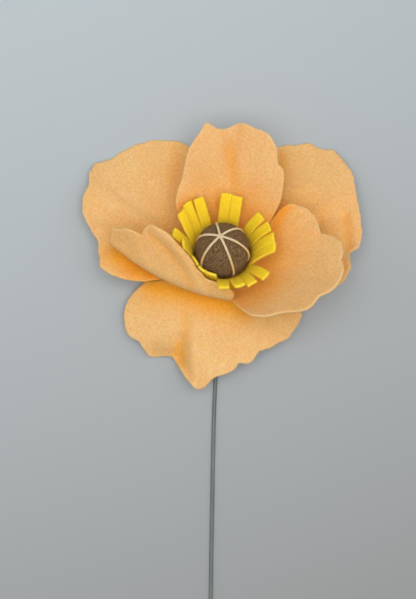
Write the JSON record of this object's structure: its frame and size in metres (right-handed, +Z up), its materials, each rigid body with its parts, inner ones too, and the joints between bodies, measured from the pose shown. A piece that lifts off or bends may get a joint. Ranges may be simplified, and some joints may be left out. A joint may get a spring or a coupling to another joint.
{
  "type": "handmade felt poppy flower on a wire stem",
  "caption": "Handmade felt poppy lying on its back: layered cut felt petals round a thread-wound wool ball with a slit felt fringe, on a bent wire stem.",
  "frame": {"origin": "middle of the whole flower's box, on the surface that it lies on", "axes": "+Z up from the surface; +Y along the stem from its cut end to the head; +X to the right of the flower as seen from above"},
  "size_m": [0.1452, 0.3016, 0.0543],
  "materials": {
    "petal_felt": "matte apricot-orange wool felt with a short loose pile and pale cut edges",
    "fringe_felt": "matte golden-yellow wool felt, cut into fingers",
    "ball_wool": "matte dark brown needle-felted wool with stray hairs",
    "cream_thread": "soft twisted cream thread",
    "wire": "satin grey-green coat"
  },
  "bodies": {
    "root": {"ball": "ball_wool", "thread_wrap": "cream_thread", "fringe": "fringe_felt", "backing_disc": "petal_felt", "petal_inner_top": "petal_felt", "petal_inner_left": "petal_felt", "petal_inner_right": "petal_felt", "petal_outer_left": "petal_felt", "petal_outer_right": "petal_felt", "petal_outer_bottom": "petal_felt", "stem": "wire"}
  },
  "joints": []
}
